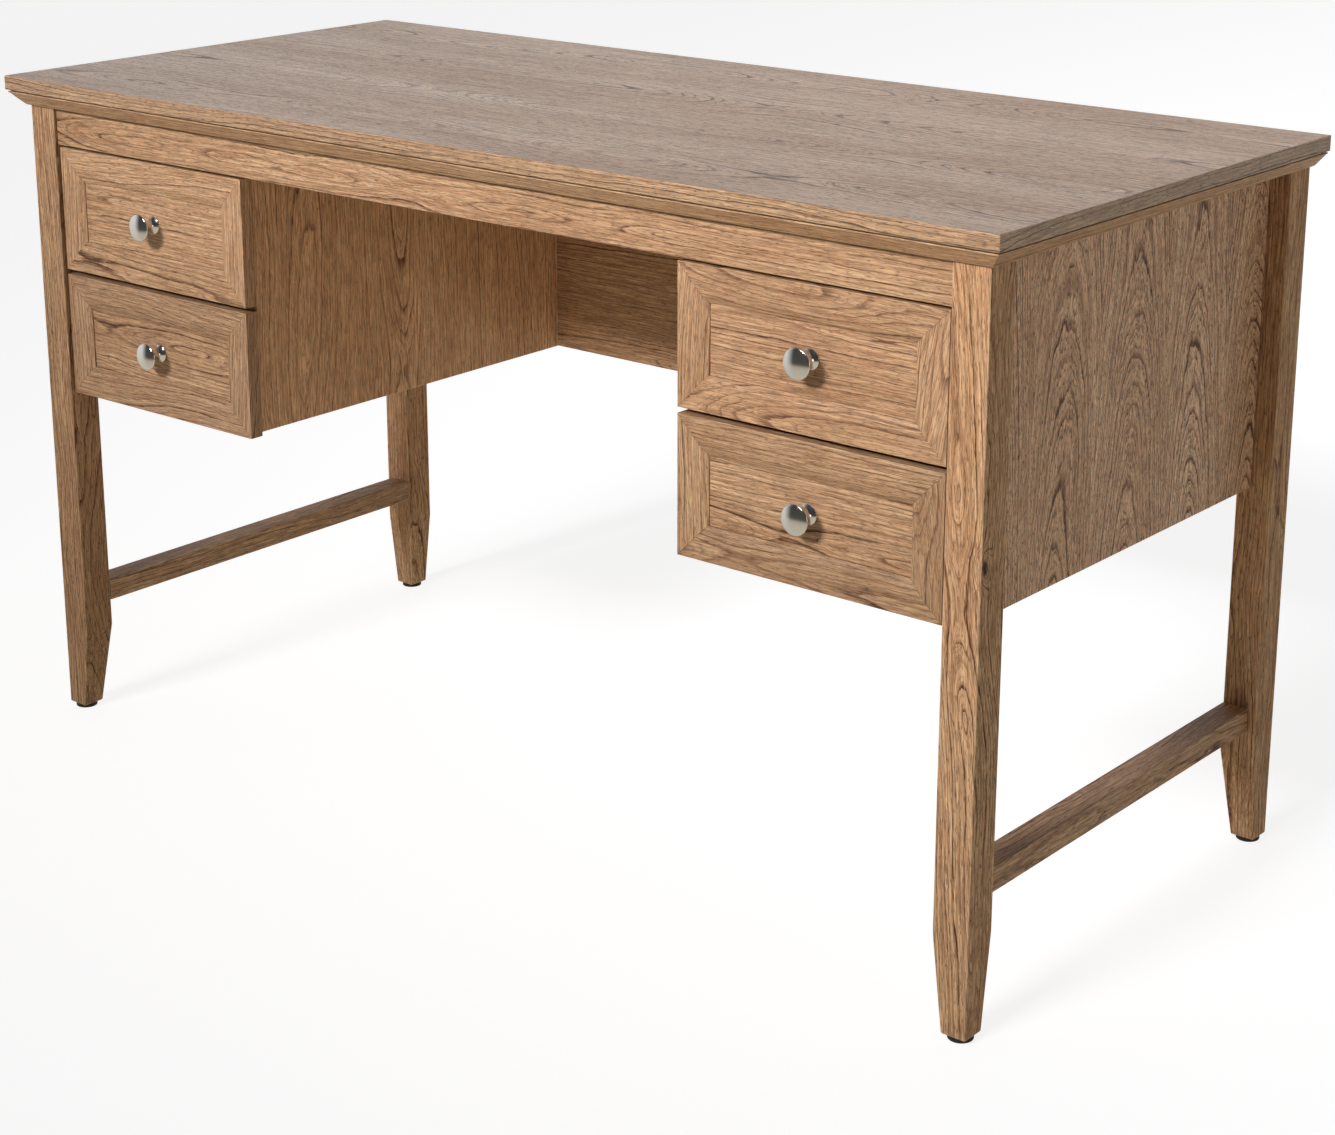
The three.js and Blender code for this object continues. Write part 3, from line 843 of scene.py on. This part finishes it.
def add_side_frames(leg_material, stretcher_material, plastic):
    # Each leg's tone holds painted light as well as the board's own tone: the rear legs are lightened so that
    # their sides, which get little light here, come out brighter.
    leg_woods = {
        "front_left": Wood(11, 0.030, 0.89, slope=0.02),
        "front_right": Wood(12, -0.004, 1.12, slope=0.08, knot=(0.085, 0.0195, -0.014),
                            knot_size=(0.011, 0.006, 0.006)),
        "rear_left": Wood(13, 0.034, 1.22),
        "rear_right": Wood(14, 0.022, 1.10),
    }
    for hand, side in HANDS:
        for end in ("front", "rear"):
            name = f"{end}_{hand}"
            lo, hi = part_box(f"{name}_leg")
            outer_x = hi.x if side > 0 else lo.x
            outer_y = lo.y if end == "front" else hi.y
            wood = leg_woods[name]
            shape = leg_shape(lo, hi, outer_x, outer_y, wood)
            add_piece(shape, f"{name}_leg_finish", leg_material, "desk_frame", [f"{name}_leg"], wood)
            add_glide(name, lo.z, plastic)
        wood = Wood(20 + side, 0.028, 0.98)
        add_board(f"{hand}_stretcher", Y_AXIS, wood, stretcher_material, radius=0.0014, banded=False)


def add_boards(oak_material, panel_material, top_material):
    # Board tones hold painted light and shade as well as each board's own tone: the back panel and the inner
    # and outer side panels are lightened, most by nearly half, where this light reaches them weakly, and the
    # worktop and front apron are darkened.
    add_board("top_board", X_AXIS, Wood(4.4, 0.075, 0.83), top_material, "top_oak", radius=0.001)
    add_board("front_apron", X_AXIS, Wood(2.75, 0.012, 0.92), oak_material)
    add_board("rear_apron", X_AXIS, Wood(7, 0.03, 0.97), oak_material)
    back_wood = Wood(8, 0.02, 1.12, knot=(0.21, 0.02, -0.006), knot_size=(0.02, 0.011, 0.011))
    add_board("back_panel", X_AXIS, back_wood, oak_material)
    for hand, side in HANDS:
        outer_wood = Wood(30 + side, 0.0, 1.44, tilt=0.13, depth=0.022)
        add_board(f"{hand}_outer_panel", Z_AXIS, outer_wood, panel_material)
        add_board(f"{hand}_inner_panel", Z_AXIS, Wood(34 + side, 0.03, 1.48), oak_material)
        add_board(f"{hand}_pedestal_bottom", Y_AXIS, Wood(38 + side, 0.02, 0.93), panel_material)


# ---------------------------------------------------------------- drawers

FIRST_LOG = 50  # the number of the first drawer's stretch of oak
LOGS_APART = 31  # from one drawer to the next
BOX_LOG = 20  # from a drawer's front to its box

# The bars of a drawer front: name, way out in X and Z, place beside the heart, and the most its grain slopes.
FRONT_BARS = (
    ("top_rail", (0, 1), 0.006, 0.04),
    ("bottom_rail", (0, -1), -0.020, 0.02),
    ("left_stile", (-1, 0), 0.045, -0.05),
    ("right_stile", (1, 0), 0.010, 0.22),
)


def drawer_front_box(name):
    lo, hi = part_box(f"{name}_front")
    return lo, Vector((hi.x, hi.y, hi.z - FRONT_EASE))


def add_drawer_front(name, body, material, number):
    """Four mitred bars with a sloped inner edge, round a sunk panel."""
    lo, hi = drawer_front_box(name)
    half_x, half_z = (hi.x - lo.x) / 2, (hi.z - lo.z) / 2
    centre_x, centre_z = (lo.x + hi.x) / 2, (lo.z + hi.z) / 2
    thickness = hi.y - lo.y
    inner = FRAME_FLAT + FRAME_SLOPE
    groove = [thickness * part for part in PANEL_GROOVE]
    groove_floor = inner - TONGUE - TONGUE_END_PLAY
    outline = rounded_outline([
        (0.0, thickness, 0.0006),
        (0.0, 0.0, 0.0010),
        (FRAME_FLAT, 0.0, 0.0008),
        (inner, SLOPE_DEPTH, 0.0004),
        (inner, groove[0], 0),
        (groove_floor, groove[0], 0),
        (groove_floor, groove[1], 0),
        (inner, groove[1], 0),
        (inner, thickness, 0),
    ])
    for i, (bar, (out_x, out_z), from_heart, slope) in enumerate(FRONT_BARS):
        half_length, half_across = (half_x, half_z) if out_z else (half_z, half_x)

        def place(u, v, end):
            across = half_across - u
            along = end * (half_length - u - MITRE_PLAY)
            if out_z:
                return Vector((centre_x + along, lo.y + v, centre_z + out_z * across))
            return Vector((centre_x + out_x * across, lo.y + v, centre_z + along))

        # Painted shade: the lower row's fronts are darker than the upper row's, as the light falls off
        # towards the floor.
        row_painted_shade = 0.97 if "upper" in name else 0.87
        tone = row_painted_shade + 0.05 * math.sin(number * 2.1 + i * 2.7)
        wood = Wood(number + i * 0.83, from_heart, tone, slope * math.cos(number * 1.3 + i))
        shape = strip_shape(outline, place, Vector((abs(out_z), 0, abs(out_x))), wood)
        add_piece(shape, f"{name}_front_{bar}", material, body, [f"{name}_front"], wood)
    add_sunk_panel(name, body, material, number, groove)


def add_sunk_panel(name, body, material, number, groove):
    """A board with a tongue all round, in the grooves of its frame."""
    lo, hi = drawer_front_box(name)
    inner = FRAME_FLAT + FRAME_SLOPE + PANEL_PLAY
    panel_lo = Vector((lo.x + inner, lo.y + PANEL_DEPTH, lo.z + inner))
    panel_hi = Vector((hi.x - inner, hi.y, hi.z - inner))
    tongue_front = lo.y + groove[0] + TONGUE_SIDE_PLAY
    tongue_rear = lo.y + groove[1] - TONGUE_SIDE_PLAY
    levels = (
        (0.0, panel_lo.y),
        (0.0, tongue_front),
        (TONGUE, tongue_front),
        (TONGUE, tongue_rear),
        (0.0, tongue_rear),
        (0.0, panel_hi.y),
    )
    shape = new_shape()
    rings = []
    for grow, y in levels:
        x0, x1 = panel_lo.x - grow, panel_hi.x + grow
        z0, z1 = panel_lo.z - grow, panel_hi.z + grow
        rings.append([shape.verts.new((x, y, z)) for x, z in ((x0, z0), (x1, z0), (x1, z1), (x0, z1))])
    for ring, following in zip(rings, rings[1:]):
        for i in range(4):
            j = (i + 1) % 4
            shape.faces.new((ring[i], ring[j], following[j], following[i]))
    shape.faces.new(rings[0])
    shape.faces.new(rings[-1])
    face_outward(shape)
    # Painted shade: the lower sunk panels are a little darker than the upper ones.
    wood = Wood(number + 7.1, 0.03 * math.sin(number * 1.7), 0.99 if "upper" in name else 0.95)
    lay_grain(shape, set(), board_place(panel_lo, panel_hi, X_AXIS, wood, banded=False))
    add_piece(shape, f"{name}_front_panel", material, body, [f"{name}_front"], wood)


def drawer_side_outline(lo, hi, outward):
    """The section of a drawer's side: a runner groove outside and a base groove inside."""
    outer, inner = (hi.x, lo.x) if outward > 0 else (lo.x, hi.x)
    groove_x = outer - outward * RUNNER_GROOVE_DEPTH
    base_x = inner + outward * BASE_GROOVE_DEPTH
    runner_z = lo.z + RUNNER_GROOVE_RISE
    base_z = lo.z + BASE_GROOVE_RISE
    soft, crisp = 0.0012, 0.0004
    return rounded_outline([
        (outer, lo.z, soft),
        (inner, lo.z, soft),
        (inner, base_z, 0),
        (base_x, base_z, 0),
        (base_x, base_z + BASE_GROOVE_HEIGHT, 0),
        (inner, base_z + BASE_GROOVE_HEIGHT, 0),
        (inner, hi.z, soft),
        (outer, hi.z, soft),
        (outer, runner_z + RUNNER_GROOVE_HEIGHT, crisp),
        (groove_x, runner_z + RUNNER_GROOVE_HEIGHT, 0),
        (groove_x, runner_z, 0),
        (outer, runner_z, crisp),
    ])


def add_drawer_box(name, body, side, material, number):
    for wall, outward in (("outer", side), ("inner", -side)):
        node = f"{name}_{wall}_side"
        lo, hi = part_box(node)
        wood = Wood(number + outward * 0.4, 0.03)
        outline = drawer_side_outline(lo, hi, outward)
        shape = strip_shape(outline, along_y(lo, hi), Vector((0, 1, 0)), wood)
        add_piece(shape, f"{node}_finish", material, body, [node], wood)
    back_wood = Wood(number + 2.2, 0.03)
    base_wood = Wood(number + 3.3, 0.02, 1.03)
    add_board(f"{name}_back", X_AXIS, back_wood, material, "drawer_board", body, radius=0.0011)
    add_board(f"{name}_base", X_AXIS, base_wood, material, "drawer_board", body, radius=0.0004)


def knob_outline(length, head_radius):
    """From the bore in the base, round the flared foot, up the stem and round the rim to the dome's top."""
    bore_radius, bore_depth = 0.0023, 0.0120
    foot_radius = 0.010
    flare_start, flare_height = 0.0014, 0.0076
    stem_radius, stem_top = 0.0052, 0.0125
    rim_radius, rim_height = 0.0014, 0.0207
    flare_steps, dome_steps = 10, 16

    outline = [
        (0.0, bore_depth, 0),
        (bore_radius, bore_depth, 0),
        (bore_radius, 0.0, 0),
        (foot_radius - 0.0003, 0.0, 0.0003),
        (foot_radius, 0.0009, 0.0005),
    ]
    flare_reach = foot_radius - 0.0007 - stem_radius
    for step in range(flare_steps + 1):
        along = step / flare_steps
        radius = stem_radius + flare_reach * (1 - along) ** 2.2
        outline.append((radius, flare_start + flare_height * along, 0))
    outline += [
        (stem_radius, stem_top, 0.003),
        (head_radius - 0.0040, rim_height - 0.0024, 0.003),
        (head_radius - 0.0014, rim_height - 0.0011, 0.0003),
    ]
    outline = rounded_outline(outline, 4)

    rim_centre = head_radius - rim_radius
    for degrees in range(-65, 71, 15):
        angle = math.radians(degrees)
        height = rim_height + rim_radius * math.sin(angle)
        outline.append((rim_centre + rim_radius * math.cos(angle), height, 0.0))

    dome_foot, dome_start, _ = outline[-1]
    rise = length - dome_start
    dome_radius = (dome_foot ** 2 + rise ** 2) / (2 * rise)
    half_angle = math.asin(dome_foot / dome_radius)
    for step in range(1, dome_steps + 1):
        angle = half_angle * (1 - step / dome_steps)
        height = length - dome_radius * (1 - math.cos(angle))
        outline.append((dome_radius * math.sin(angle), height, 0.0))
    return outline


def screw_shape(lo, hi):
    """A pan-head screw along Y, its head at the rear with a cross recess."""
    centre = (lo + hi) / 2
    centre.y = hi.y
    length = hi.y - lo.y
    head_radius, head_height = (hi.x - lo.x) / 2, 0.0024
    face_radius = head_radius * 0.74
    shank_radius = 0.0019
    recess, recess_taper = 0.0013, 0.7
    outline = rounded_outline([
        (0.0, length, 0),
        (shank_radius - 0.0004, length, 0.0002),
        (shank_radius, length - 0.0006, 0.0002),
        (shank_radius, head_height, 0),
        (head_radius, head_height, 0.0003),
        (head_radius, head_height * 0.45, 0.0006),
        (face_radius, 0.0, 0.0008),
    ], 4)
    shape = turned_shape(outline, centre, Vector((0, -1, 0)), 48)

    rim = [edge.verts[0] for edge in shape.edges if edge.is_boundary]
    rim += [edge.verts[1] for edge in shape.edges if edge.is_boundary]
    rim = sorted(set(rim), key=lambda v: math.atan2(v.co.z - centre.z, v.co.x - centre.x))
    arm, half = face_radius * 0.72, face_radius * 0.17
    cross = [(half, half), (half, arm), (-half, arm), (-half, half), (-arm, half), (-arm, -half),
             (-half, -half), (-half, -arm), (half, -arm), (half, -half), (arm, -half), (arm, half)]
    level = rim[0].co.y
    top = [shape.verts.new((centre.x + x, level, centre.z + z)) for x, z in cross]
    bottom = []
    for x, z in cross:
        place = (centre.x + x * recess_taper, level - recess, centre.z + z * recess_taper)
        bottom.append(shape.verts.new(place))
    loops = [[v.co for v in rim], [v.co for v in reversed(top)]]
    joined = rim + list(reversed(top))
    for triangle in tessellate_polygon(loops):
        shape.faces.new([joined[i] for i in triangle])
    for i in range(len(cross)):
        j = (i + 1) % len(cross)
        shape.faces.new((top[i], top[j], bottom[j], bottom[i]))
    shape.faces.new(bottom)
    face_outward(shape)
    return shape


def add_knob(name, body, nickel, steel):
    lo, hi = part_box(f"{name}_knob")
    centre = (lo + hi) / 2
    centre.y = hi.y
    outline = knob_outline(hi.y - lo.y, (hi.x - lo.x) / 2)
    shape = turned_shape(outline, centre, Vector((0, -1, 0)), 96)
    add_piece(shape, f"{name}_knob_finish", nickel, body, [f"{name}_knob"])
    shape = screw_shape(*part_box(f"{name}_knob_screw"))
    add_piece(shape, f"{name}_knob_screw_finish", steel, body, [f"{name}_knob_screw"])


def add_runner(node, plastic):
    lo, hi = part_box(node)
    soft = 0.0008
    corners = ((lo.x, lo.z), (hi.x, lo.z), (hi.x, hi.z), (lo.x, hi.z))
    outline = rounded_outline([(x, z, soft) for x, z in corners])
    shape = strip_shape(outline, along_y(lo, hi), Vector((0, 1, 0)), Wood(0))
    add_piece(shape, f"{node}_finish", plastic, "desk_frame", [node])


def add_drawers(oak_material, board_material, nickel, steel, plastic):
    number = FIRST_LOG
    for hand, side in HANDS:
        for row in ROWS:
            name = f"{hand}_{row}_drawer"
            add_drawer_front(name, name, oak_material, number)
            add_drawer_box(name, name, side, board_material, number + BOX_LOG)
            add_knob(name, name, nickel, steel)
            for wall in ("outer", "inner"):
                add_runner(f"{hand}_{row}_{wall}_runner", plastic)
            number += LOGS_APART


# ---------------------------------------------------------------- the whole scene

make_camera()
make_studio()
make_floor(floor_paint())

oak_finish = oak("oak_foil", OAK_PALETTE, 0.50, 0.30, 1.05)
panel_finish = oak("oak_panel_foil", PANEL_PALETTE_WITH_PAINTED_SHEEN, 0.46, 0.40, 1.8, NARROW_FIGURE)
leg_finish = oak("oak_leg_lacquer", OAK_PALETTE, 0.54, 0.12, 1.2)
top_finish = oak("worktop_foil", TOP_PALETTE, 0.31, 0.72, 1.5)
box_finish = oak("drawer_box_foil", BOX_PALETTE, 0.58, 0.40, 0.5)
nickel_finish = satin_metal("satin_nickel_plate", opaque(0.67, 0.66, 0.65), 0.12)
steel_finish = satin_metal("zinc_plate", opaque(0.62, 0.63, 0.65), 0.30)
runner_finish = moulded_plastic("brown_plastic", opaque(0.045, 0.030, 0.022), 0.42)
glide_finish = moulded_plastic("black_plastic", opaque(0.012, 0.011, 0.011), 0.45)

add_boards(oak_finish, panel_finish, top_finish)
add_mouldings(oak_finish)
add_side_frames(leg_finish, oak_finish, glide_finish)
add_drawers(oak_finish, box_finish, nickel_finish, steel_finish, runner_finish)
